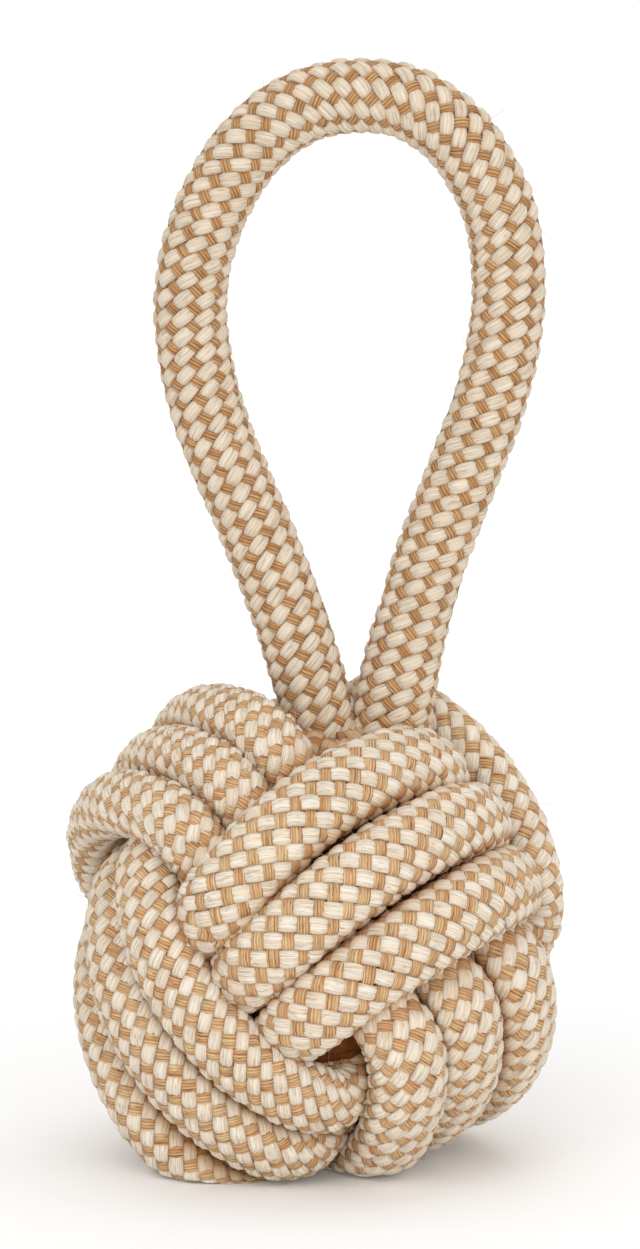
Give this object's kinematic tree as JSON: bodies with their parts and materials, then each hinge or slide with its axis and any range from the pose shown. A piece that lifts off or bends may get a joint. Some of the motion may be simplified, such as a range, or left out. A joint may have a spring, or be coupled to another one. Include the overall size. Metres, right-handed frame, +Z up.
{
  "type": "rope dog toy",
  "caption": "Ball knot of thick two-tone braided rope, wound over a round core, with a loop handle of the same rope that flops to the front and back: a tug and fetch toy.",
  "frame": {"origin": "bottom centre of the toy's box, on the surface that the ball stands on", "axes": "+Z up along the loop handle, -Y towards the front, where the three slanting turns show, +X to the right seen from the front"},
  "size_m": [0.1032, 0.1034, 0.2338],
  "materials": {
    "knot_rope": "matte braided cotton, cream and tan strands",
    "handle_rope": "matte braided cotton, cream and tan strands",
    "core": "plain matte ball"
  },
  "bodies": {
    "knot": {"core_ball": "core", "front_back_turns": "knot_rope", "left_right_turns": "knot_rope", "top_bottom_turns": "knot_rope", "left_leg_stub": "handle_rope", "right_leg_stub": "handle_rope"},
    "handle": {"handle_loop": "handle_rope"}
  },
  "joints": [
    {"name": "handle_flop", "type": "hinge", "parent": "knot", "child": "handle", "pos_m": [0.009, -0.0009, 0.1086], "axis": [1, 0, 0], "range_deg": [-70, 70], "stiffness_Nm_per_rad": 0.15}
  ]
}
